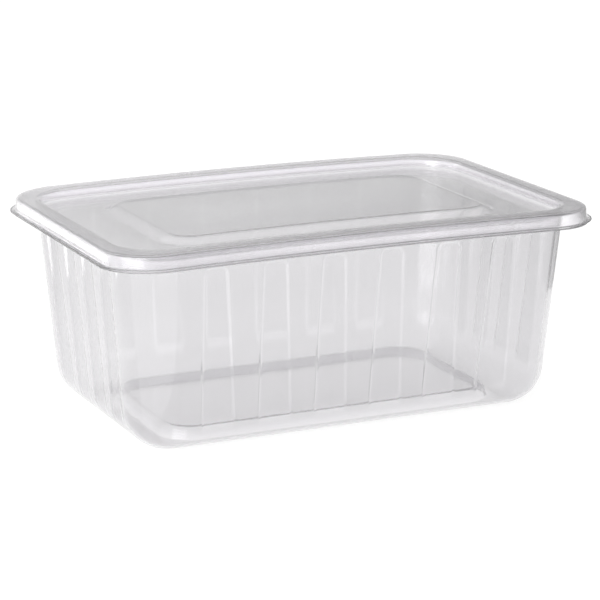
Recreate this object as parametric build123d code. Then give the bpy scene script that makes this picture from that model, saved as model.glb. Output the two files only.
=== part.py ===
"""Clear thermoformed food container: a fluted rectangular tub and the lid that closes it.

Millimetres, +Z up, +X along the long side. The origin is the middle of the foot, on the plane that the
container stands on. Each piece is one formed sheet. It is made as the form of its outer side minus the form
of its inner side, so the sheet keeps its thickness round every bend.
"""
import os
from math import atan2, cos, degrees, sin, sqrt, tan

from build123d import *

# Closed container, over the lid's lip
lip_length = 190.0
lip_width = 126.0
lip_corner = 20.4
closed_height = 75.0

# Sheets, and the room between the closed lid and the tub
tub_sheet = 0.6
lid_sheet = 0.5
seat_gap = 0.25

# Lid: lip, skirt and rim
lid_lip = 2.0
skirt_height = 5.2
rim_outer_bevel = 0.9
rim_inner_bevel = 1.7

# Lid: plug that sits in the mouth of the tub, with a ledge at its foot
plug_depth = 4.0
plug_draft = 0.5
plug_foot_bevel = 0.8

# Lid: raised plateau in the middle, which centres a container stacked on top
plateau_length = 124.0
plateau_width = 66.4
plateau_corner = 9.0
plateau_drop = 2.0
plateau_flare = 0.8
plateau_bevel = 0.8

# Tub: mouth, flange and lip
mouth_inset = 8.1
mouth_bevel = 1.3
tub_lip = 1.4
flange_bevel = 0.8

# Tub: walls and foot
wall_draft = 6.2
wall_corner = 19.5

# Tub: floor panel pushed up inside the foot
kick_height = 4.7
kick_length = 128.4
kick_width = 67.0
kick_corner = 11.0
kick_flare = 0.8
kick_bevel = 0.8

# Flutes: panels of the walls that stand back, wider towards the foot
flute_depth = 0.8
flute_slope = 1.6
flute_top_width = 8.4
flute_foot_width = 13.4
flute_top_gap = 2.6
flute_foot_gap = 3.0
side_flutes = 6
side_pitch = 22.4
end_flutes = 4
end_pitch = 18.2
corner_flat_width = 16.0

# Cuts run past what they cut by this much
overrun = 0.5
# Edges count as level within this much
level_margin = 0.01

# Levels
rim_top = closed_height
lip_base = rim_top - skirt_height
ledge_top = rim_top - plug_depth
ledge_base = ledge_top - lid_sheet
plateau_top = rim_top - plateau_drop
flange_top = rim_top - lid_sheet - seat_gap
tub_lip_top = lip_base - seat_gap
tub_lip_base = tub_lip_top - tub_sheet

# Outlines as length, width and corner radius
lip = (lip_length, lip_width, lip_corner)
mouth = (lip_length - 2 * mouth_inset, lip_width - 2 * mouth_inset, wall_corner)
plateau = (plateau_length, plateau_width, plateau_corner)
kick = (kick_length, kick_width, kick_corner)

# Change of a bevel from one side of a sheet to the other, as a share of the sheet's thickness
bevel_gain_share = 2 - sqrt(2)

# Lean of the walls
wall_lean = atan2(wall_draft, flange_top)

# Lean of a flute's sides, how much wider its cutter is at its outer end, and how much wider the sheet's
# thickness makes a flute's inner face, each on one side
flute_lean = atan2(flute_slope, flute_depth)
flute_spread = (flute_depth + overrun) * tan(flute_lean)
flute_gain = tub_sheet * tan(atan2(flute_depth, flute_slope) / 2)


def grown(sizes, amount):
    """Outline moved outwards by an amount, or inwards by a negative one."""
    length, width, corner = sizes
    return (length + 2 * amount, width + 2 * amount, corner + amount)


def outline(sizes, level):
    """Rounded rectangle centred on the vertical axis, at a level."""
    return Plane.XY.offset(level) * RectangleRounded(*sizes)


def slab(sizes, low, high):
    """Straight-sided solid between two levels."""
    return extrude(outline(sizes, low), amount=high - low)


def leaning_slab(sizes, lean, start, end):
    """Solid from one level to another, up or down, whose sides lean in by a given amount on the way."""
    reach = abs(end - start)
    plane = Plane(origin=(0, 0, start), x_dir=(1, 0, 0), z_dir=(0, 0, end - start))
    return extrude(plane * RectangleRounded(*sizes), amount=reach, taper=degrees(atan2(lean, reach)))


def edges_at(form, level):
    """Edges of a form that lie flat at a level."""
    return form.edges().filter_by_position(Axis.Z, level - level_margin, level + level_margin)


def top_ring(form):
    """Highest face of a form."""
    return form.faces().sort_by(Axis.Z)[-1]


def bevel_inner_edge(form, bevel):
    """Bevel the inner edge of a form's top ring."""
    return form.chamfer(bevel, bevel, top_ring(form).inner_wires()[0].edges())


def bevel_outer_edge(form, bevel):
    """Bevel the outer edge of a form's top face."""
    return form.chamfer(bevel, bevel, top_ring(form).outer_wire().edges())


def wall_outline(level, inset):
    """Outline of the tub's wall at a level, moved inwards by an inset."""
    depth_share = (flange_top - level) / flange_top
    return grown(mouth, -wall_draft * depth_share - inset)


def wall_point(side, level, inset):
    """Point of the wall furthest out towards a side or a corner, which is given as signs in plan."""
    length, width, corner = wall_outline(level, inset)
    centre = Vector((length / 2 - corner) * side.X, (width / 2 - corner) * side.Y, level)
    return centre + side.normalized() * corner


def wall_plane(side, inset):
    """Plane on the wall at a side or a corner, facing inwards: x level and y up the wall."""
    along = side.cross(Vector(0, 0, 1))
    up_the_wall = wall_point(side, flange_top, inset) - wall_point(side, 0, inset)
    return Plane(origin=wall_point(side, 0, inset), x_dir=along, z_dir=along.cross(up_the_wall))


def flute(side, shift, top_width, foot_width, inset):
    """Cutter for one flute, with sloped sides. It runs out below in the round of the foot."""
    spread = flute_spread - flute_slope / 2 + flute_gain * inset / tub_sheet
    half_top = top_width / 2 + spread
    half_foot = foot_width / 2 + spread
    top = tub_lip_base - flute_top_gap + spread
    corners = [
        (shift - half_foot, flute_foot_gap),
        (shift + half_foot, flute_foot_gap),
        (shift + half_top, top),
        (shift - half_top, top),
    ]
    face = make_face(Polyline(*corners, close=True))
    plane = wall_plane(side, inset).offset(-overrun)
    return extrude(plane * face, amount=flute_depth + overrun, taper=degrees(flute_lean))


def row_of_shifts(count, pitch):
    """Places of a row of flutes, centred on its wall."""
    return [(index - (count - 1) / 2) * pitch for index in range(count)]


def flutes(inset):
    """Cutters for the flutes of all four walls and the flats of the four corners."""
    cutters = []
    for way in (1, -1):
        for shift in row_of_shifts(side_flutes, side_pitch):
            cutters.append(flute(Vector(0, way, 0), shift, flute_top_width, flute_foot_width, inset))
        for shift in row_of_shifts(end_flutes, end_pitch):
            cutters.append(flute(Vector(way, 0, 0), shift, flute_top_width, flute_foot_width, inset))
        for across in (1, -1):
            cutters.append(flute(Vector(way, across, 0), 0, corner_flat_width, corner_flat_width, inset))
    return cutters


def foot_round(inset):
    """Radius of the ball that just fills a lower corner of the tub, at an inset from its outer side."""
    length, width, corner = wall_outline(inset, inset)
    return corner * cos(wall_lean) / (1 - sin(wall_lean))


def wall_section(inset):
    """Section of the tub's form, from the axis of its corners out to its wall, at an inset."""
    length, width, corner = wall_outline(flange_top, inset)
    radius = foot_round(inset)
    foot = CenterArc((0, inset + radius), radius, -90, 90 - degrees(wall_lean))
    wall = Polyline(foot @ 1, (corner, flange_top), (0, flange_top), foot @ 0)
    return Plane.XZ * make_face([foot, wall])


def wall_form(inset):
    """Drafted, fluted form of the tub, with a rounded foot, at an inset from its outer side."""
    length, width, corner = mouth
    axis_places = (length / 2 - corner, width / 2 - corner)
    core = Rectangle(2 * axis_places[0], 2 * axis_places[1])
    form = extrude(Plane.XY.offset(inset) * core, amount=flange_top - inset)
    section = wall_section(inset)
    quarter = revolve(section, Axis.Z, revolution_arc=90)
    for turn in range(4):
        out, along = axis_places[turn % 2], axis_places[1 - turn % 2]
        side = extrude(section, amount=along, both=True)
        form += Rot(0, 0, 90 * turn) * (Pos(out, 0, 0) * side + Pos(out, along, 0) * quarter)
    return form - flutes(inset)


def kick_form(gain):
    """Form of the pushed-up floor panel, moved outwards by a gain."""
    form = leaning_slab(grown(kick, kick_flare + gain), kick_flare, 0, kick_height + gain)
    return bevel_outer_edge(form, kick_bevel + gain * bevel_gain_share)


def flange_form(inset):
    """Form inside the tub's flange and its turned-down edge, at an inset from the outer side."""
    return slab(grown(lip, -lid_lip - lid_sheet - seat_gap - inset), tub_lip_base, flange_top - inset)


def make_tub():
    """Tub: fluted walls, pushed-up floor, flange, turned-down edge and lip."""
    walls = wall_form(0)
    loss = tub_sheet * bevel_gain_share
    under_flange = bevel_outer_edge(flange_form(tub_sheet) - walls, flange_bevel - loss)
    under_flange = bevel_inner_edge(under_flange, mouth_bevel - loss)
    inside = wall_form(tub_sheet) - kick_form(tub_sheet)
    form = bevel_outer_edge(flange_form(0) + walls - inside, flange_bevel)
    form = bevel_inner_edge(form, mouth_bevel)
    lip_plate = slab(grown(lip, -tub_lip), tub_lip_base, tub_lip_top)
    return form + (lip_plate - flange_form(0)) - under_flange - kick_form(0)


def plug_form(inset):
    """Form inside the lid's plug, at an inset from its outer side, down to the ledge."""
    return leaning_slab(grown(mouth, -tub_sheet - seat_gap - inset), plug_draft, rim_top, ledge_base + inset)


def plateau_form(inset):
    """Form of the lid's plateau, at an inset from its upper side."""
    base = grown(plateau, plateau_flare - inset)
    form = leaning_slab(base, plateau_flare, ledge_base, plateau_top - inset)
    return bevel_outer_edge(form, plateau_bevel - inset * bevel_gain_share)


def skirt_form(inset):
    """Form inside the lid's skirt, at an inset from its outer side, with a bevelled upper edge."""
    form = slab(grown(lip, -lid_lip - inset), lip_base, rim_top - inset)
    return bevel_outer_edge(form, rim_outer_bevel - inset * bevel_gain_share)


def make_lid():
    """Lid: lip, skirt, rim, plug, ledge and plateau."""
    plug = plug_form(0)
    pocket = plug_form(lid_sheet)
    pocket = pocket.chamfer(plug_foot_bevel, plug_foot_bevel, edges_at(pocket, ledge_top))
    loss = lid_sheet * bevel_gain_share
    under_rim = bevel_inner_edge(skirt_form(lid_sheet) - plug, rim_inner_bevel - loss)
    form = bevel_inner_edge(skirt_form(0) + plug - pocket, rim_inner_bevel)
    lip_plate = slab(lip, lip_base, lip_base + lid_sheet)
    form = form + (lip_plate - skirt_form(0)) - under_rim
    return form + plateau_form(0) - plateau_form(lid_sheet)


os.makedirs("parts", exist_ok=True)
for name, piece in {"tub": make_tub(), "lid": make_lid()}.items():
    export_step(piece, f"parts/{name}.step")
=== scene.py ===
"""Looks of a clear food container: a fluted tub and the lid that closes it.

Both pieces are thin formed sheets. Each is a profile carried round a rounded rectangle, worked out with
numpy as one closed grid: the upper side of the sheet, its edge and its lower side. Sizes are in millimetres,
and the meshes are in metres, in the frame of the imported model.
"""
import logging
import math
from dataclasses import dataclass
from enum import Enum, IntEnum
from typing import Any, Mapping, Optional, Sequence, Union

import bmesh
import bpy
import numpy as np
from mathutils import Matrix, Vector

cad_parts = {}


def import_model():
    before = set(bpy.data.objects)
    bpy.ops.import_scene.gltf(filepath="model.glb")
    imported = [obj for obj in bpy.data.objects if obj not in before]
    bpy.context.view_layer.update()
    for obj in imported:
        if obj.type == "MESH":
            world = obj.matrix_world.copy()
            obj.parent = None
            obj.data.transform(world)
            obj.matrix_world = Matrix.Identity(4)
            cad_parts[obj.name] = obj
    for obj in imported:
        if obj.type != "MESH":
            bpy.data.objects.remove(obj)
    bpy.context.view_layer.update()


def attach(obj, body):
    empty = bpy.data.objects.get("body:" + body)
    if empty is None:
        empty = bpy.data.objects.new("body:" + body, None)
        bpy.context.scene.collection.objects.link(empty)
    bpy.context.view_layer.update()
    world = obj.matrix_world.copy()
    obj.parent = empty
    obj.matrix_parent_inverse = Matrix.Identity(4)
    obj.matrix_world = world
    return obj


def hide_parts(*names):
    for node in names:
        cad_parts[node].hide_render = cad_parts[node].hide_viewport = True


LOG = logging.getLogger("food_container")
MM = 0.001
IMAGE_SIZE = 600.0
SENSOR_WIDTH = 36.0
MERGE_DISTANCE = 1e-6
STEADY_LENGTH = 1e-5
CLARITY_AND_PAINTED_LIGHT = "clarity_and_painted_light"
HAZE = "haze"
WHITE = (1.0, 1.0, 1.0, 1.0)
STRAIGHT_DOWN = (0.0, 0.0, -1.0)


class SheetSide(Enum):
    """Side of a formed sheet that a profile describes."""

    UPPER = 1
    LOWER = -1


class Column(IntEnum):
    """Columns of a row that describes one ring of a sheet."""

    HALF_LENGTH = 0
    HALF_WIDTH = 1
    CORNER = 2
    HEIGHT = 3
    CLARITY_AND_PAINTED_LIGHT = 4
    HAZE = 5


SECTION = [Column.HALF_LENGTH, Column.HEIGHT]


@dataclass(frozen=True)
class Outline:
    """Rounded rectangle about the middle of the container, in millimetres."""

    half_length: float
    half_width: float
    corner: float

    def grown(self, amount: float) -> "Outline":
        """Outline moved outwards by an amount, or inwards by a negative one."""
        return Outline(self.half_length + amount, self.half_width + amount, self.corner + amount)

    def spine(self) -> "Outline":
        """Middle line that the outline shrinks to, as an outline with no width."""
        return Outline(self.half_length - self.half_width, 0.0, 0.0)

    def values(self) -> np.ndarray:
        """The three sizes as an array."""
        return np.array([self.half_length, self.half_width, self.corner])


@dataclass(frozen=True)
class SheetLook:
    """Look of a sheet at one place: the share of light that it lets through, partly painted light and shade,
    and its roughness.
    """

    clarity_and_painted_light: float
    haze: float


@dataclass(frozen=True)
class Stop:
    """Corner of a profile: an outline at a height.

    It also holds the look of the sheet there, the radius of its bend, and the rings on the run after it.
    """

    outline: Outline
    height: float
    look: SheetLook
    bend: float = 0.0
    rings: int = 1

    def row(self) -> np.ndarray:
        """The stop as a ring, in the order of its columns."""
        return np.append(self.outline.values(), [self.height, self.look.clarity_and_painted_light, self.look.haze])


@dataclass(frozen=True)
class Profile:
    """Section of one side of a sheet, from its outer edge to the middle of the container."""

    stops: Sequence[Stop]
    arc_step: float = 0.22
    least_steps: int = 4
    support: float = 0.45
    short_run: float = 1.8

    def _heading(self, index: int) -> np.ndarray:
        """Direction of the run after a stop.

        Args:
            index: Number of the stop.

        Returns:
            Unit direction, as outwards and up.
        """
        first, second = self.stops[index], self.stops[index + 1]
        outwards = second.outline.half_length - first.outline.half_length
        run = np.array([outwards, second.height - first.height])
        return run / np.linalg.norm(run)

    def _bend(self, index: int) -> np.ndarray:
        """Rings of the bend at a stop.

        A bend is an arc tangent to both runs: from the stop, back along the first run by radius times the
        tangent of half the turn, then round a centre at the radius on the side that it turns to.

        Args:
            index: Number of the stop.

        Returns:
            Rings as rows, in the order of their columns.
        """
        stop = self.stops[index]
        here = stop.row()
        if stop.bend <= 0.0 or index in (0, len(self.stops) - 1):
            return here[None, :]
        before, after = self._heading(index - 1), self._heading(index)
        turn = math.atan2(before[0] * after[1] - before[1] * after[0], float(before @ after))
        side = math.copysign(1.0, turn)
        inward = side * np.array([-before[1], before[0]])
        centre = -before * stop.bend * math.tan(abs(turn) / 2) + inward * stop.bend
        count = max(self.least_steps, math.ceil(abs(turn) / self.arc_step))
        angle = np.linspace(0.0, turn, count + 1)
        offset = np.stack([
            centre[0] - stop.bend * (inward[0] * np.cos(angle) - inward[1] * np.sin(angle)),
            centre[1] - stop.bend * (inward[1] * np.cos(angle) + inward[0] * np.sin(angle)),
            np.zeros_like(angle),
        ], axis=1)
        # The outline's three sizes move outwards, the height moves up, and the look stays
        return here[None, :] + offset[:, [0, 0, 0, 1, 2, 2]]

    def rings(self) -> np.ndarray:
        """All rings of the profile.

        Runs between bends are straight. Each has as many even rings as its stop asks for. One that isn't
        short also has a ring close to either bend, which keeps the shading of its flat part clear of it.

        Returns:
            Rings as rows, in the order of their columns.
        """
        bends = [self._bend(index) for index in range(len(self.stops))]
        rows = [bends[0]]
        for index, (first, second) in enumerate(zip(bends[:-1], bends[1:])):
            start, end = first[-1], second[0]
            length = float(np.abs(end - start)[SECTION].sum())
            shares = np.linspace(0.0, 1.0, self.stops[index].rings + 2)[1:-1]
            if length > self.short_run:
                close = self.support / length
                shares = np.concatenate([[close], shares * (1 - 2 * close) + close, [1 - close]])
            rows.append(start + (end - start) * shares[:, None])
            rows.append(second)
        return np.concatenate(rows)


@dataclass(frozen=True)
class ContainerSizes:
    """Sizes of the closed container, shared by its two pieces, in millimetres."""

    lip: Outline = Outline(95.0, 63.0, 20.4)
    rim_top: float = 75.0
    tub_sheet: float = 0.6
    lid_sheet: float = 0.5
    seat_gap: float = 0.25
    lid_lip: float = 2.0
    skirt_height: float = 5.2
    mouth_inset: float = 8.1
    wall_corner: float = 18.1
    bow: float = 1.3

    @property
    def flange_top(self) -> float:
        """Height of the tub's flange."""
        return self.rim_top - self.lid_sheet - self.seat_gap

    @property
    def lip_base(self) -> float:
        """Height of the underside of the lid's lip."""
        return self.rim_top - self.skirt_height

    @property
    def mouth(self) -> Outline:
        """Outline of the tub's wall at the flange."""
        inner = self.lip.grown(-self.mouth_inset)
        return Outline(inner.half_length, inner.half_width, self.wall_corner)

    def bowed(self, points: np.ndarray) -> np.ndarray:
        """Points with the crown of the formed sheets.

        The rim stands a little higher midway along the long sides: the rise is the bow times one minus the
        square of the share of the length, times the square of the share of the height.

        Args:
            points: Places in millimetres, along the last axis.

        Returns:
            The raised places.
        """
        along = points[..., 0] / self.lip.half_length
        level = points[..., 2] / self.rim_top
        raised = points.copy()
        raised[..., 2] += self.bow * (1.0 - along ** 2) * level ** 2
        return raised


def smooth_step(share: np.ndarray) -> np.ndarray:
    """Smooth step from 0 to 1: 3 t squared minus 2 t cubed, held beyond the ends."""
    held = np.clip(share, 0.0, 1.0)
    return held * held * (3.0 - 2.0 * held)


@dataclass(frozen=True)
class FluteRow:
    """Row of flutes on one wall.

    It holds how many there are, how far apart, how wide, how wide and deep their slopes are, and how much
    clearer the slopes are, as a painted highlight, and how much less clear the panels, as painted shade.
    """

    count: int
    pitch: float
    top_width: float
    foot_width: float
    slope: float
    depth: float
    # Painted highlight on the slopes and painted shade on the panels, as shares of light let through
    painted_slope_highlight: float
    painted_panel_shade: float

    def centres(self) -> np.ndarray:
        """Places of the flutes along their wall."""
        return (np.arange(self.count) - (self.count - 1) / 2) * self.pitch


@dataclass(frozen=True)
class Flutes:
    """Panels of the walls that stand back, wider towards the foot, and a flat on each corner."""

    top_level: float = 66.35
    top_round: float = 2.2
    top_margin: float = 2.2
    # Slopes of the long walls get a painted highlight, and panels of the short walls painted shade
    side_row: FluteRow = FluteRow(
        count=6, pitch=22.4, top_width=8.4, foot_width=13.4, slope=1.6, depth=0.6,
        painted_slope_highlight=0.06, painted_panel_shade=0.0,
    )
    end_row: FluteRow = FluteRow(
        count=4, pitch=18.2, top_width=8.4, foot_width=12.4, slope=3.0, depth=0.5,
        painted_slope_highlight=0.0, painted_panel_shade=0.05,
    )
    corner_flat: float = 0.45
    corner_softness: float = 0.05
    softness_share: float = 0.125
    inner_share: float = 0.5
    slope_share: float = 0.52
    slope_steps: int = 7
    land_shares: tuple[float, ...] = (0.12, 0.5, 0.88)
    panel_shares: tuple[float, ...] = (-0.8, 0.0, 0.8)

    def half_widths(self, row: FluteRow, level: np.ndarray) -> np.ndarray:
        """Half widths of a row's flutes at some levels, straight from the foot to the top."""
        share = np.clip(level / self.top_level, 0.0, 1.0)[:, None]
        return (row.foot_width + (row.top_width - row.foot_width) * share) / 2

    def stations(self, row: FluteRow, reach: float, level: np.ndarray) -> np.ndarray:
        """Places along a wall at which its surface is worked out.

        Each flute has steps across both of its slopes and a few on its panel, and the lands between have a
        few more, so edges of the grid follow the edges of the flutes.

        Args:
            row: The wall's row of flutes.
            reach: Half the straight length of the wall.
            level: Levels of the rings.

        Returns:
            Places along the wall, one row for each level.
        """
        half = self.half_widths(row, level)
        tail = self.slope_share * row.slope
        steps = np.linspace(-tail, tail, self.slope_steps)[None, :]
        land_shares = np.array(self.land_shares)[None, :]
        panel_shares = np.array(self.panel_shares)[None, :]
        edge = np.full((len(level), 1), -reach)
        columns = []
        for centre in row.centres():
            left = centre - (half + steps)[:, ::-1]
            right = centre + half + steps
            panel = centre + panel_shares * (half - tail)
            columns.append(edge + (left[:, :1] - edge) * land_shares)
            columns.extend([left, panel, right])
            edge = right[:, -1:]
        columns.append(edge + (reach - edge) * land_shares)
        return np.concatenate(columns, axis=1)

    def wall_depth(self, row: FluteRow, along: np.ndarray, level: np.ndarray) -> np.ndarray:
        """How far the wall stands back at some places.

        Each flute is a tall panel with a rounded top. The distance in from its edge, over the width of the
        slope, goes through a smooth step of 3 t squared minus 2 t cubed.

        Args:
            row: The wall's row of flutes.
            along: Places along the wall, one row for each level.
            level: Levels of the rings.

        Returns:
            Depths in millimetres.
        """
        half = self.half_widths(row, level)
        nearest = np.abs(along[:, :, None] - row.centres()[None, None, :]).min(axis=2)
        across = nearest - (half - self.top_round)
        above = np.broadcast_to(level[:, None] - (self.top_level - self.top_round), across.shape)
        beyond = np.hypot(np.maximum(across, 0.0), np.maximum(above, 0.0))
        inside = np.minimum(np.maximum(across, above), 0.0)
        return row.depth * smooth_step((self.top_round - beyond - inside) / row.slope + self.inner_share)

    def corner_depth(self, corner: np.ndarray, turn: np.ndarray, level: np.ndarray) -> np.ndarray:
        """How far a corner stands back at some places.

        The flat is a chord: its distance from the corner's axis is the corner radius less the flat's depth,
        over the cosine of the angle from the middle. A soft minimum joins it to the round.

        Args:
            corner: Radius of the corner at each level.
            turn: Angles round the corner, from its start.
            level: Levels of the rings.

        Returns:
            Depths in millimetres.
        """
        chord = (corner[:, None] - self.corner_flat) / np.cos(turn - math.pi / 4)[None, :]
        gap = corner[:, None] - chord
        soft = (gap + np.sqrt(gap ** 2 + self.corner_softness ** 2)) / 2
        soft = soft - self.corner_softness * self.softness_share
        fade = smooth_step((self.top_level - level) / self.top_margin + self.inner_share)
        return np.maximum(soft, 0.0) * fade[:, None]


def grid_mesh(name: str, places: np.ndarray) -> bpy.types.Mesh:
    """Mesh of a grid that closes on itself: each face joins two rings and two stations that are neighbours.

    Args:
        name: Name of the mesh.
        places: Places in metres, by ring and station.

    Returns:
        The new mesh.
    """
    index = np.arange(places.shape[0] * places.shape[1]).reshape(places.shape[:2])
    beside = np.roll(index, -1, axis=1)
    faces = np.stack([index[:-1], index[1:], beside[1:], beside[:-1]], axis=-1).reshape(-1, 4)
    mesh = bpy.data.meshes.new(name)
    mesh.from_pydata(places.reshape(-1, 3).tolist(), [], faces.tolist())
    return mesh


def close_seams(mesh: bpy.types.Mesh) -> None:
    """Merge the places of a mesh that lie together, and shade it smoothly.

    Args:
        mesh: The mesh, which is changed.
    """
    shape = bmesh.new()
    shape.from_mesh(mesh)
    bmesh.ops.remove_doubles(shape, verts=shape.verts, dist=MERGE_DISTANCE)
    shape.to_mesh(mesh)
    shape.free()
    mesh.polygons.foreach_set("use_smooth", np.ones(len(mesh.polygons), dtype=bool))
    mesh.update()


@dataclass
class FormedSheet:
    """Thin sheet made by carrying a profile round a rounded rectangle."""

    name: str
    node: str
    slot: str
    side: SheetSide
    thickness: float
    sizes: ContainerSizes
    corner_steps: int = 20
    side_steps: int = 48
    end_steps: int = 32
    edge_share: float = 0.35
    edge_reach: float = 1.8
    # The lip and the rim are clearer than the rest of the sheet, as painted light; their haze is roughness
    lip_look: SheetLook = SheetLook(0.99, 0.35)
    rim_look: SheetLook = SheetLook(0.985, 0.18)

    def profile(self) -> Profile:
        """Profile of the side that is described."""
        raise NotImplementedError

    def sheet_thickness(self, rings: np.ndarray) -> np.ndarray:
        """Thickness at each ring, which grows from the trimmed edge inwards by a smooth step.

        Args:
            rings: Rings as rows, in the order of their columns.

        Returns:
            Thicknesses in millimetres.
        """
        runs = np.linalg.norm(np.diff(rings[:, SECTION], axis=0), axis=1)
        inwards = np.concatenate([[0.0], np.cumsum(runs)])
        share = self.edge_share + (1.0 - self.edge_share) * smooth_step(inwards / self.edge_reach)
        return self.thickness * share

    def wall_stations(self, is_end: bool, level: np.ndarray) -> np.ndarray:
        """Shares of a wall's straight half length at which it is worked out, one row for each level."""
        count = self.end_steps if is_end else self.side_steps
        return np.tile(np.linspace(-1.0, 1.0, count + 2)[1:-1], (len(level), 1))

    def wall_depth(self, is_end: bool, shares: np.ndarray, rings: np.ndarray) -> np.ndarray:
        """How far a wall stands back from its plain form."""
        return np.zeros_like(shares)

    def corner_depth(self, turn: np.ndarray, rings: np.ndarray) -> np.ndarray:
        """How far a corner stands back from its plain form."""
        return np.zeros((len(rings), len(turn)))

    def painted_flute_light(self, is_end: bool, shares: np.ndarray, rings: np.ndarray) -> np.ndarray:
        """Painted highlight and shade of a wall: how much clearer it is at some places than its ring."""
        return np.zeros_like(shares)

    def clarity_and_painted_light(self, rings: np.ndarray) -> np.ndarray:
        """How clear the sheet is, with its painted light and shade, by ring and station, in the order of the
        surface.

        Args:
            rings: Rings as rows, in the order of their columns.

        Returns:
            Shares of light let through, which carry painted light and shade.
        """
        spans = []
        for quarter in range(4):
            is_end = quarter % 2 == 0
            shares = self.wall_stations(is_end, rings[:, Column.HEIGHT])
            # The flutes add their painted highlight and shade to the clarity of the ring
            spans.append(self.painted_flute_light(is_end, shares, rings))
            spans.append(np.zeros((len(rings), self.corner_steps + 1)))
        return np.clip(rings[:, Column.CLARITY_AND_PAINTED_LIGHT, None] + np.concatenate(spans, axis=1), 0.0, 1.0)

    def surface(self, rings: np.ndarray) -> np.ndarray:
        """Places on the described side of the sheet.

        Going round anticlockwise, each of the four sides is its outward direction times the half size plus
        its tangent times a share of the straight half length, and each corner is a quarter turn about its
        centre. The stand-back of flutes moves a place against its outward direction.

        Args:
            rings: Rings as rows, in the order of their columns.

        Returns:
            Places in millimetres, by ring and station.
        """
        half_length, half_width, corner, level = rings.T[:4]
        turn = np.linspace(0.0, math.pi / 2, self.corner_steps + 1)
        spans = []
        for quarter in range(4):
            heading = quarter * math.pi / 2
            out = np.array([math.cos(heading), math.sin(heading)]).round()
            along = np.array([-out[1], out[0]])
            is_end = quarter % 2 == 0
            reach, straight = (half_length, half_width) if is_end else (half_width, half_length)
            straight = straight - corner
            shares = self.wall_stations(is_end, level)
            distance = reach[:, None] - self.wall_depth(is_end, shares, rings)
            spans.append(distance[..., None] * out + (shares * straight[:, None])[..., None] * along)
            around = np.stack([np.cos(heading + turn), np.sin(heading + turn)], axis=1)
            radius = corner[:, None] - self.corner_depth(turn, rings)
            middle = (reach - corner)[:, None] * out + straight[:, None] * along
            spans.append(middle[:, None, :] + radius[..., None] * around[None, :, :])
        plan = np.concatenate(spans, axis=1)
        height = np.broadcast_to(level[:, None, None], plan.shape[:2] + (1,))
        return np.concatenate([plan, height], axis=2)

    @staticmethod
    def normals(places: np.ndarray) -> np.ndarray:
        """Directions across a grid: the step to the next ring crossed with the step to the next station.

        Where stations run together, as on the middle line, the direction is straight down.

        Args:
            places: Places by ring and station.

        Returns:
            Unit directions by ring and station.
        """
        down_rings = np.gradient(places, axis=0)
        round_ring = np.roll(places, -1, axis=1) - np.roll(places, 1, axis=1)
        across = np.cross(down_rings, round_ring)
        length = np.linalg.norm(across, axis=2, keepdims=True)
        steady = length > STEADY_LENGTH
        return np.where(steady, across / np.where(steady, length, 1.0), np.array(STRAIGHT_DOWN))

    def closed_grid(self, rings: np.ndarray) -> np.ndarray:
        """Both sides of the sheet as one grid.

        The other side of the sheet is the described one moved by the thickness along its directions. The
        grid runs from the middle of the upper side out to the edge and back to the middle of the lower side.

        Args:
            rings: Rings as rows, in the order of their columns.

        Returns:
            Places in metres, by ring and station.
        """
        given = self.surface(rings)
        shift = self.side.value * self.sheet_thickness(rings)[:, None, None]
        moved = given + shift * self.normals(given)
        upper, lower = (given, moved) if self.side is SheetSide.UPPER else (moved, given)
        return self.sizes.bowed(np.concatenate([upper[::-1], lower])) * MM

    def build(self) -> bpy.types.Object:
        """Make the sheet's mesh as one closed grid with its clarity, painted light and shade, and haze.

        Returns:
            The new object, at the origin.
        """
        rings = self.profile().rings()
        mesh = grid_mesh(self.name, self.closed_grid(rings))
        clarity_and_painted_light = self.clarity_and_painted_light(rings)
        haze = np.repeat(rings[:, Column.HAZE, None], clarity_and_painted_light.shape[1], axis=1)
        for attribute, values in ((CLARITY_AND_PAINTED_LIGHT, clarity_and_painted_light), (HAZE, haze)):
            both = np.concatenate([values[::-1], values]).astype(np.float32).ravel()
            mesh.attributes.new(attribute, "FLOAT", "POINT").data.foreach_set("value", both)
        close_seams(mesh)
        piece = bpy.data.objects.new(self.name, mesh)
        bpy.context.scene.collection.objects.link(piece)
        return piece

    def place(self, material: bpy.types.Material) -> None:
        """Build the sheet, dress it, and let it stand for its node.

        Args:
            material: Finish of the sheet.
        """
        piece = self.build()
        piece.data.materials.append(material)
        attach(piece, self.node)
        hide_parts(self.node)
        LOG.info("%s: %d faces", self.name, len(piece.data.polygons))


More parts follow.
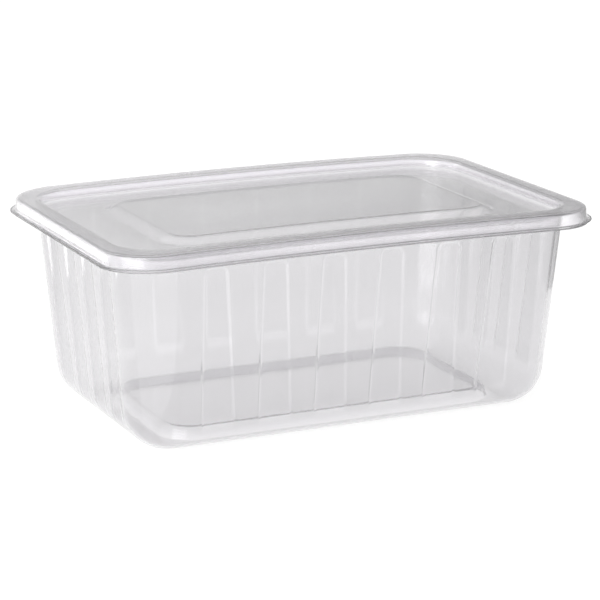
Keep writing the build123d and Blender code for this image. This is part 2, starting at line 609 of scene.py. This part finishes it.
@dataclass
class TubShell(FormedSheet):
    """The tub: fluted walls, pushed-up floor, flange, turned-down edge and lip."""

    wall_draft: float = 6.2
    lip_inset: float = 1.4
    kick: Outline = Outline(63.6, 32.9, 11.0)
    kick_height: float = 4.7
    kick_flare: float = 1.4
    foot_corner: float = 15.0
    lip_bend: float = 0.8
    flange_bend: float = 0.5
    mouth_bend: float = 0.9
    foot_bend: float = 14.4
    step_bend: float = 0.8
    kick_bend: float = 1.6
    flange_rings: int = 2
    flute_top_rings: int = 11
    wall_rings: int = 9
    kick_rings: int = 4
    # The wall's grey is partly the sheet's tint and partly painted shade; the foot, the floor and most of
    # all its step are clearer, as painted light
    wall_look: SheetLook = SheetLook(0.795, 0.08)
    foot_look: SheetLook = SheetLook(0.85, 0.08)
    kick_look: SheetLook = SheetLook(0.875, 0.08)
    step_look: SheetLook = SheetLook(1.0, 0.1)
    flutes: Flutes = Flutes()

    def wall_at(self, level: Union[float, np.ndarray]) -> Outline:
        """Outline of the outer side of the wall, which leans in evenly towards the foot.

        Args:
            level: Level or levels in millimetres.

        Returns:
            The outline, with arrays as its sizes where levels are given.
        """
        depth_share = (self.sizes.flange_top - level) / self.sizes.flange_top
        plan = self.sizes.mouth.grown(-self.wall_draft * depth_share)
        corner = self.sizes.wall_corner + (self.foot_corner - self.sizes.wall_corner) * depth_share
        return Outline(plan.half_length, plan.half_width, corner)

    def profile(self) -> Profile:
        """Profile of the outer side, from the lip over the flange and down the wall to the floor.

        Returns:
            The profile.
        """
        sizes = self.sizes
        flange_base = sizes.flange_top - sizes.tub_sheet
        lip_base = sizes.lip_base - sizes.seat_gap - sizes.tub_sheet
        skirt = sizes.lip.grown(-sizes.lid_lip - sizes.lid_sheet - sizes.seat_gap - sizes.tub_sheet)
        above_flutes = self.flutes.top_level + self.flutes.top_margin
        below_tops = self.flutes.top_level - 2 * self.flutes.top_margin
        return Profile((
            Stop(sizes.lip.grown(-self.lip_inset), lip_base, self.lip_look),
            Stop(skirt, lip_base, self.rim_look, self.lip_bend),
            Stop(skirt, flange_base, self.rim_look, self.flange_bend, self.flange_rings),
            Stop(self.wall_at(flange_base), flange_base, self.rim_look, self.mouth_bend),
            Stop(self.wall_at(above_flutes), above_flutes, self.wall_look, rings=self.flute_top_rings),
            Stop(self.wall_at(below_tops), below_tops, self.wall_look, rings=self.wall_rings),
            Stop(self.wall_at(0.0), 0.0, self.foot_look, self.foot_bend),
            Stop(self.kick.grown(self.kick_flare), 0.0, self.step_look, self.step_bend),
            Stop(self.kick, self.kick_height, self.kick_look, self.kick_bend, self.kick_rings),
            Stop(self.kick.spine(), self.kick_height, self.kick_look),
        ))

    def _row(self, is_end: bool) -> FluteRow:
        """Row of flutes of a wall."""
        return self.flutes.end_row if is_end else self.flutes.side_row

    def _wall_reach(self, is_end: bool) -> float:
        """Half the straight length of a wall."""
        mouth = self.sizes.mouth
        return (mouth.half_width if is_end else mouth.half_length) - mouth.corner

    def _behind_wall(self, rings: np.ndarray) -> np.ndarray:
        """How far rings lie behind the plane of the wall, as those of the foot's round do."""
        wall = self.wall_at(rings[:, Column.HEIGHT])
        return np.maximum(wall.half_length - rings[:, Column.HALF_LENGTH], 0.0)[:, None]

    def wall_stations(self, is_end: bool, level: np.ndarray) -> np.ndarray:
        """Shares of a wall's straight half length, which follow the edges of its flutes."""
        reach = self._wall_reach(is_end)
        return self.flutes.stations(self._row(is_end), reach, level) / reach

    def wall_depth(self, is_end: bool, shares: np.ndarray, rings: np.ndarray) -> np.ndarray:
        """How far a wall stands back, less what the foot's round already takes.

        Args:
            is_end: Whether the wall is a short one.
            shares: Places along the wall, as shares of its straight half length.
            rings: Rings as rows, in the order of their columns.

        Returns:
            Depths in millimetres.
        """
        along = shares * self._wall_reach(is_end)
        depth = self.flutes.wall_depth(self._row(is_end), along, rings[:, Column.HEIGHT])
        return np.maximum(depth - self._behind_wall(rings), 0.0)

    def painted_flute_light(self, is_end: bool, shares: np.ndarray, rings: np.ndarray) -> np.ndarray:
        """Painted highlight and shade of a wall: how much clearer it is at some places than its ring.

        With d as the share of the flutes' depth, it is 4 d times 1 - d times the painted highlight of the
        slopes, less d times the painted shade of the panels.

        Args:
            is_end: Whether the wall is a short one.
            shares: Places along the wall, as shares of its straight half length.
            rings: Rings as rows, in the order of their columns.

        Returns:
            Painted gains in the share of light let through, less painted shade.
        """
        row = self._row(is_end)
        share = self.wall_depth(is_end, shares, rings) / row.depth
        # Painted highlight on the slopes, less painted shade on the panels
        return 4 * share * (1.0 - share) * row.painted_slope_highlight - share * row.painted_panel_shade

    def corner_depth(self, turn: np.ndarray, rings: np.ndarray) -> np.ndarray:
        """How far a corner stands back, less what the foot's round already takes.

        Args:
            turn: Angles round the corner, from its start.
            rings: Rings as rows, in the order of their columns.

        Returns:
            Depths in millimetres.
        """
        level = rings[:, Column.HEIGHT]
        depth = self.flutes.corner_depth(self.wall_at(level).corner, turn, level)
        return np.maximum(depth - self._behind_wall(rings), 0.0)


@dataclass
class LidShell(FormedSheet):
    """The lid: lip, skirt, rim, plug, ledge and raised plateau."""

    plug_depth: float = 4.0
    plug_draft: float = 0.5
    plateau: Outline = Outline(62.0, 33.2, 9.0)
    plateau_drop: float = 2.0
    plateau_flare: float = 3.0
    lip_bend: float = 0.4
    rim_bend: float = 1.3
    pocket_bend: float = 1.8
    ledge_bend: float = 1.2
    riser_bend: float = 4.0
    rim_rings: int = 3
    plug_rings: int = 2
    ledge_rings: int = 3
    plateau_rings: int = 5
    # The lid's greys are partly its tint and partly painted shade, and the risers are greyer still, as
    # painted shade
    flat_look: SheetLook = SheetLook(0.86, 0.06)
    riser_look: SheetLook = SheetLook(0.8, 0.1)

    def pocket(self) -> Outline:
        """Outline inside the plug, at the top of the rim."""
        sizes = self.sizes
        return sizes.mouth.grown(-sizes.tub_sheet - sizes.seat_gap - sizes.lid_sheet)

    def profile(self) -> Profile:
        """Profile of the upper side, from the lip over the rim and down the plug to the plateau.

        Returns:
            The profile.
        """
        sizes = self.sizes
        lip_top = sizes.lip_base + sizes.lid_sheet
        ledge_top = sizes.rim_top - self.plug_depth
        plateau_top = sizes.rim_top - self.plateau_drop
        skirt = sizes.lip.grown(-sizes.lid_lip)
        pocket = self.pocket()
        ledge = pocket.grown(-self.plug_draft)
        riser_foot = self.plateau.grown(self.plateau_flare)
        return Profile((
            Stop(sizes.lip, lip_top, self.lip_look),
            Stop(skirt, lip_top, self.rim_look, self.lip_bend),
            Stop(skirt, sizes.rim_top, self.rim_look, self.rim_bend, self.rim_rings),
            Stop(pocket, sizes.rim_top, self.rim_look, self.pocket_bend, self.plug_rings),
            Stop(ledge, ledge_top, self.flat_look, self.ledge_bend, self.ledge_rings),
            Stop(riser_foot, ledge_top, self.riser_look, self.riser_bend),
            Stop(self.plateau, plateau_top, self.riser_look, self.riser_bend, self.plateau_rings),
            Stop(self.plateau.spine(), plateau_top, self.flat_look),
        ))


class Wire:
    """Output socket of a shader tree. Arithmetic on it adds Math nodes."""

    def __init__(self, shader: "ShaderTree", socket: bpy.types.NodeSocket) -> None:
        """Keep a socket and the tree that it is in."""
        self.shader = shader
        self.socket = socket

    def _math(self, operation: str, first: "Value", second: "Value") -> "Wire":
        """Add a Math node on two values."""
        node = self.shader.node("ShaderNodeMath", {"operation": operation}, {0: first, 1: second})
        return Wire(self.shader, node.outputs[0])

    def __add__(self, other: "Value") -> "Wire":
        """This value plus another."""
        return self._math("ADD", self, other)

    def __radd__(self, other: "Value") -> "Wire":
        """Another value plus this one."""
        return self._math("ADD", other, self)

    def __sub__(self, other: "Value") -> "Wire":
        """This value minus another."""
        return self._math("SUBTRACT", self, other)

    def __rsub__(self, other: "Value") -> "Wire":
        """Another value minus this one."""
        return self._math("SUBTRACT", other, self)

    def __mul__(self, other: "Value") -> "Wire":
        """This value times another."""
        return self._math("MULTIPLY", self, other)

    def __rmul__(self, other: "Value") -> "Wire":
        """Another value times this one."""
        return self._math("MULTIPLY", other, self)

    def at_most(self, other: "Value") -> "Wire":
        """The lower of this value and another."""
        return self._math("MINIMUM", self, other)

    def carried(self, span: tuple[float, float], levels: tuple["Value", "Value"]) -> "Wire":
        """This value carried evenly from a span on to two levels, and held beyond its ends.

        Args:
            span: Where the first level ends and the second one starts.
            levels: The two levels.

        Returns:
            The level.
        """
        return self.shader.wire("ShaderNodeMapRange", {}, {
            "Value": self,
            "From Min": span[0],
            "From Max": span[1],
            "To Min": levels[0],
            "To Max": levels[1],
        })


Value = Union[Wire, float, Sequence[float]]


class ShaderTree:
    """Node tree of a material or a world."""

    def __init__(self, owner: Union[bpy.types.Material, bpy.types.World]) -> None:
        """Empty the owner's node tree and keep it."""
        owner.use_nodes = True
        self.tree = owner.node_tree
        self.tree.nodes.clear()

    def node(
        self,
        kind: str,
        settings: Optional[Mapping[str, Any]] = None,
        inputs: Optional[Mapping[Union[str, int], Any]] = None,
    ) -> bpy.types.Node:
        """Add a node.

        Args:
            kind: Type of the node.
            settings: Settings of the node, which are set first.
            inputs: Values or wires for its sockets, by name or number.

        Returns:
            The new node.
        """
        node = self.tree.nodes.new(kind)
        for key, value in (settings or {}).items():
            setattr(node, key, value)
        for key, value in (inputs or {}).items():
            if isinstance(value, Wire):
                self.tree.links.new(value.socket, node.inputs[key])
            else:
                node.inputs[key].default_value = value
        return node

    def wire(
        self,
        kind: str,
        settings: Optional[Mapping[str, Any]] = None,
        inputs: Optional[Mapping[Union[str, int], Any]] = None,
        output: Union[str, int] = 0,
    ) -> Wire:
        """Add a node and take one of its outputs, with the node's own arguments and the output's name."""
        return Wire(self, self.node(kind, settings, inputs).outputs[output])


@dataclass(frozen=True)
class ClearPlastic:
    """Clear formed sheet: glossy, a little hazy and a little uneven."""

    name: str
    cast: tuple[float, float, float] = (1.0, 0.994, 1.006)
    index: float = 1.32
    haze_spread: float = 0.04
    noise_middle: float = 0.5
    haze_scale: float = 40.0
    haze_detail: float = 3.0
    ripple_scale: float = 28.0
    ripple_detail: float = 1.0
    ripple_height: float = 0.00012
    ripple_strength: float = 0.35

    def material(self) -> bpy.types.Material:
        """Make the material.

        The mesh holds how clear the sheet is, with painted light and shade, and how hazy it is. The colour
        is a faint cast times the one, the roughness is the other with a soft noise, and a broader noise
        gives the slow ripple of formed sheet.

        Returns:
            The new material.
        """
        material = bpy.data.materials.new(self.name)
        shader = ShaderTree(material)
        place = shader.wire("ShaderNodeTexCoord", output="Object")
        cloud = shader.wire("ShaderNodeTexNoise", {}, {
            "Vector": place, "Scale": self.haze_scale, "Detail": self.haze_detail,
        })
        haze = shader.wire("ShaderNodeAttribute", {"attribute_name": HAZE}, output="Fac")
        ripple = shader.wire("ShaderNodeTexNoise", {}, {
            "Vector": place, "Scale": self.ripple_scale, "Detail": self.ripple_detail,
        })
        bump = shader.wire("ShaderNodeBump", {}, {
            "Height": ripple, "Strength": self.ripple_strength, "Distance": self.ripple_height,
        })
        # Clarity is the sheet's tint with painted light and shade, and it scales the base colour
        clarity_and_painted_light = shader.wire("ShaderNodeAttribute", {"attribute_name": CLARITY_AND_PAINTED_LIGHT}, output="Fac")
        colour = shader.wire("ShaderNodeVectorMath", {"operation": "SCALE"}, {
            0: self.cast, "Scale": clarity_and_painted_light,
        })
        surface = shader.wire("ShaderNodeBsdfPrincipled", {}, {
            "Base Color": colour,
            "Roughness": haze + (cloud - self.noise_middle) * self.haze_spread,
            "IOR": self.index,
            "Transmission Weight": 1.0,
            "Normal": bump,
        })
        shader.node("ShaderNodeOutputMaterial", {}, {"Surface": surface})
        return material


Plan = tuple[tuple[float, float], ...]
Corners = tuple[tuple[float, float, float], ...]


def box_plan(low: tuple[float, float], high: tuple[float, float]) -> Plan:
    """Corners of a rectangle, anticlockwise from its lowest one."""
    (west, south), (east, north) = low, high
    return ((west, south), (east, south), (east, north), (west, north))


def level_corners(plan: Plan, height: float) -> Corners:
    """Corners of a level piece of the studio: those of its plan at a height."""
    return tuple((across, along, height) for across, along in plan)


@dataclass(frozen=True)
class GlowSheet:
    """Flat piece of the studio that glows evenly and that the camera doesn't see, in metres."""

    name: str
    corners: Corners
    level: float


@dataclass(frozen=True)
class SoftLamp:
    """Soft lamp that faces the container, in metres. A level of 1 is white."""

    name: str
    place: tuple[float, float, float]
    width: float
    height: float
    level: float


@dataclass
class Studio:
    """Pale floor, soft light and the photograph's camera.

    The camera's distance and target are in millimetres, its angles in degrees, and its focal length in
    pixels. Other lengths are in metres. A level of 1 is white.
    """

    azimuth: float = -24.879
    elevation: float = 14.444
    distance: float = 915.54
    focal_pixels: float = 2485.3
    target: tuple[float, float, float] = (0.44, -0.19, 37.44)
    floor_half: float = 4.0
    floor_level: float = -0.0001
    floor_glow: float = 0.9
    floor_grey: float = 0.2
    sky_level: float = 0.85
    tent_radius: float = 2.5
    tent_low: float = 1.0
    tent_top: float = 90.0
    tent_steps: tuple[int, int] = (12, 48)
    tent_levels: tuple[float, float] = (1.35, 0.3)
    patch_height: float = 0.001
    flute_patch_level: float = 2.3
    flute_patch_corner: tuple[float, float] = (-0.1, -0.05)
    flute_patch_left: float = -0.6
    flute_patch_front: float = -0.28
    front_patch_level: float = 3.0
    front_patch_low: tuple[float, float] = (0.08, -0.6)
    front_patch_right: float = 0.4
    rim_patch_level: float = 4.0
    rim_patch_low: tuple[float, float] = (-0.5, 0.12)
    rim_patch_high: tuple[float, float] = (-0.185, 0.6)
    flag_level: float = 0.5
    flag_place: float = 0.2
    flag_reach: tuple[float, float] = (-0.15, 0.1)
    flag_top: float = 0.1
    card_place: float = 0.4
    card_half: float = 1.2
    card_top: float = 0.3
    card_fade: tuple[float, float] = (0.13, 0.165)
    card_sides: tuple[float, float] = (0.06, 0.28)
    card_foot: float = 1.0
    card_greys: tuple[float, float] = (0.55, 0.34)
    left_strip: SoftLamp = SoftLamp("left_strip", (-0.30, -0.17, 0.11), width=0.26, height=0.22, level=6.0)
    back_window: SoftLamp = SoftLamp("back_window", (-0.75, 1.15, 0.36), width=0.8, height=0.5, level=7.0)
    light_bounces: int = 32

    @staticmethod
    def _seen_directly(shader: ShaderTree) -> Wire:
        """Whether a surface is seen by the camera, or through plastic, or mirrored in it.

        Args:
            shader: Tree of the surface.

        Returns:
            One for such rays, and else zero.
        """
        path = shader.node("ShaderNodeLightPath")
        kinds = ("Camera", "Glossy", "Transmission")
        rays = [Wire(shader, path.outputs[f"Is {kind} Ray"]) for kind in kinds]
        return (rays[0] + rays[1] + rays[2]).at_most(1.0)

    def sky(self) -> None:
        """White surroundings, which light matt surfaces a little less than they show."""
        world = bpy.data.worlds.new("studio_sky")
        bpy.context.scene.world = world
        shader = ShaderTree(world)
        shown = self._seen_directly(shader)
        strength = shown * (1.0 - self.sky_level) + self.sky_level
        background = shader.wire("ShaderNodeBackground", {}, {"Color": WHITE, "Strength": strength})
        shader.node("ShaderNodeOutputWorld", {}, {"Surface": background})

    @staticmethod
    def _on_stage(mesh: bpy.types.Mesh, in_view: bool) -> bpy.types.Object:
        """Put a mesh on the stage.

        Args:
            mesh: The mesh of a piece of the studio.
            in_view: Whether the camera sees it.

        Returns:
            The piece, with an empty material.
        """
        mesh.materials.append(bpy.data.materials.new(mesh.name))
        piece = bpy.data.objects.new(mesh.name, mesh)
        piece.visible_camera = in_view
        bpy.context.scene.collection.objects.link(piece)
        return piece

    def sheet(self, name: str, corners: Corners, in_view: bool) -> ShaderTree:
        """Flat piece of the studio, which throws a shadow only if the camera sees it.

        Args:
            name: Name of the piece.
            corners: Its four corners, in metres.
            in_view: Whether the camera sees it.

        Returns:
            The empty tree of its material.
        """
        mesh = bpy.data.meshes.new(name)
        mesh.from_pydata(corners, [], [(0, 1, 2, 3)])
        sheet = self._on_stage(mesh, in_view)
        sheet.visible_shadow = in_view
        return ShaderTree(sheet.active_material)

    @staticmethod
    def _place_along(shader: ShaderTree, axis: str) -> Wire:
        """Place on a surface along an axis of its object."""
        spot = shader.wire("ShaderNodeTexCoord", output="Object")
        return shader.wire("ShaderNodeSeparateXYZ", {}, {"Vector": spot}, axis)

    @staticmethod
    def _let_glow(shader: ShaderTree, level: Value) -> None:
        """Let a surface glow.

        Args:
            shader: Tree of its material, which has no output yet.
            level: Its brightness, where 1 is white. One that changes over the surface is its colour.
        """
        socket = "Color" if isinstance(level, Wire) else "Strength"
        glow = shader.wire("ShaderNodeEmission", {}, {socket: level})
        shader.node("ShaderNodeOutputMaterial", {}, {"Surface": glow})

    def floor(self) -> None:
        """Pale floor that keeps the object's shadow."""
        half = self.floor_half
        corners = level_corners(box_plan((-half, -half), (half, half)), self.floor_level)
        shader = self.sheet("studio_floor", corners, True)
        matt = shader.wire("ShaderNodeBsdfDiffuse", {}, {"Color": (self.floor_grey,) * 3 + (1.0,)})
        strength = self._seen_directly(shader) * self.floor_glow
        glow = shader.wire("ShaderNodeEmission", {}, {"Strength": strength})
        both = shader.wire("ShaderNodeAddShader", {}, {0: matt, 1: glow})
        shader.node("ShaderNodeOutputMaterial", {}, {"Surface": both})

    def glow_sheets(self) -> list[GlowSheet]:
        """Brighter parts of the floor and a greyer flag on the right.

        The slopes of the flutes mirror the part at the front left. Its right edge follows the way in which
        the front wall mirrors the camera, so the wall itself doesn't show it. The rim mirrors the rest.

        Returns:
            The sheets.
        """
        east, north = self.flute_patch_corner
        west, south = self.flute_patch_left, self.flute_patch_front
        slant = (north - south) * math.tan(math.radians(-self.azimuth))
        flute_plan = ((west, north), (west, south), (east + slant, south), (east, north))
        front_plan = box_plan(self.front_patch_low, (self.front_patch_right, south))
        rim_plan = box_plan(self.rim_patch_low, self.rim_patch_high)
        back, front = self.flag_reach
        flag_plan = box_plan((back, 0.0), (front, self.flag_top))
        flag_corners = tuple((self.flag_place, along, height) for along, height in flag_plan)
        return [
            GlowSheet("flute_patch", level_corners(flute_plan, self.patch_height), self.flute_patch_level),
            GlowSheet("front_patch", level_corners(front_plan, self.patch_height), self.front_patch_level),
            GlowSheet("rim_patch", level_corners(rim_plan, self.patch_height), self.rim_patch_level),
            GlowSheet("right_flag", flag_corners, self.flag_level),
        ]

    def tent(self) -> None:
        """Tent round the floor, brighter to the left, which the plastic mirrors.

        It is a dome: a ring for each step of elevation, the radius times its cosine and sine.
        """
        rise_steps, turn_steps = self.tent_steps
        rise = np.radians(np.linspace(self.tent_low, self.tent_top, rise_steps + 1))[:, None]
        turn = np.linspace(0.0, 2 * math.pi, turn_steps + 1)[None, :-1]
        places = np.stack([
            np.cos(rise) * np.cos(turn), np.cos(rise) * np.sin(turn), np.sin(rise) * np.ones_like(turn),
        ], axis=2) * self.tent_radius
        shader = ShaderTree(self._on_stage(grid_mesh("studio_tent", places), False).active_material)
        across = self._place_along(shader, "X")
        self._let_glow(shader, across.carried((-self.tent_radius, self.tent_radius), self.tent_levels))

    def card(self) -> None:
        """Card behind the container, white low down and grey above, darker to the right.

        Level parts mirror it: the tub's floor its white part, and the lid its grey one.
        """
        plan = box_plan((-self.card_half, 0.0), (self.card_half, self.card_top))
        corners = tuple((across, self.card_place, height) for across, height in plan)
        shader = self.sheet("studio_card", corners, False)
        grey = self._place_along(shader, "X").carried(self.card_sides, self.card_greys)
        height = self._place_along(shader, "Z")
        self._let_glow(shader, height.carried(self.card_fade, (self.card_foot, grey)))

    def lamp(self, soft_lamp: SoftLamp) -> None:
        """Set up a soft lamp. Its power is its brightness times pi times its area.

        Args:
            soft_lamp: The lamp's place, size and brightness.
        """
        data = bpy.data.lights.new(soft_lamp.name, "AREA")
        data.shape = "RECTANGLE"
        data.size = soft_lamp.width
        data.size_y = soft_lamp.height
        data.energy = soft_lamp.level * math.pi * soft_lamp.width * soft_lamp.height
        place = Vector(soft_lamp.place)
        lamp = bpy.data.objects.new(soft_lamp.name, data)
        lamp.location = place
        lamp.rotation_euler = (Vector(self.target) * MM - place).to_track_quat("-Z", "Y").to_euler()
        lamp.visible_camera = False
        bpy.context.scene.collection.objects.link(lamp)

    def camera(self) -> None:
        """Set up the camera that was fitted to the photograph's outline."""
        turn, rise = math.radians(self.azimuth), math.radians(self.elevation)
        back = Vector((math.sin(turn) * math.cos(rise), -math.cos(turn) * math.cos(rise), math.sin(rise)))
        data = bpy.data.cameras.new("photo_camera")
        data.sensor_width = SENSOR_WIDTH
        data.lens = self.focal_pixels / IMAGE_SIZE * SENSOR_WIDTH
        camera = bpy.data.objects.new("photo_camera", data)
        camera.location = (Vector(self.target) + back * self.distance) * MM
        camera.rotation_euler = back.to_track_quat("Z", "Y").to_euler()
        bpy.context.scene.collection.objects.link(camera)
        bpy.context.scene.camera = camera

    def build(self) -> None:
        """Set up the whole studio."""
        scene = bpy.context.scene
        scene.view_settings.view_transform = "Standard"
        scene.cycles.max_bounces = self.light_bounces
        scene.cycles.transmission_bounces = self.light_bounces
        scene.cycles.glossy_bounces = self.light_bounces
        self.sky()
        self.floor()
        for glow_sheet in self.glow_sheets():
            self._let_glow(self.sheet(glow_sheet.name, glow_sheet.corners, False), glow_sheet.level)
        self.tent()
        self.card()
        for soft_lamp in (self.left_strip, self.back_window):
            self.lamp(soft_lamp)
        self.camera()


def main() -> None:
    """Load the frame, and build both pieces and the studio."""
    logging.basicConfig(level=logging.INFO, format="%(name)s: %(message)s")
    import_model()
    sizes = ContainerSizes()
    tub_finish = ClearPlastic("clear_tub_sheet")
    lid_finish = ClearPlastic("clear_lid_sheet")
    tub = TubShell("tub_shell", "tub", "tub_plastic", SheetSide.LOWER, sizes.tub_sheet, sizes)
    lid = LidShell("lid_shell", "lid", "lid_plastic", SheetSide.UPPER, sizes.lid_sheet, sizes)
    tub.place(tub_finish.material())
    lid.place(lid_finish.material())
    Studio().build()


if __name__ == "__main__":
    main()
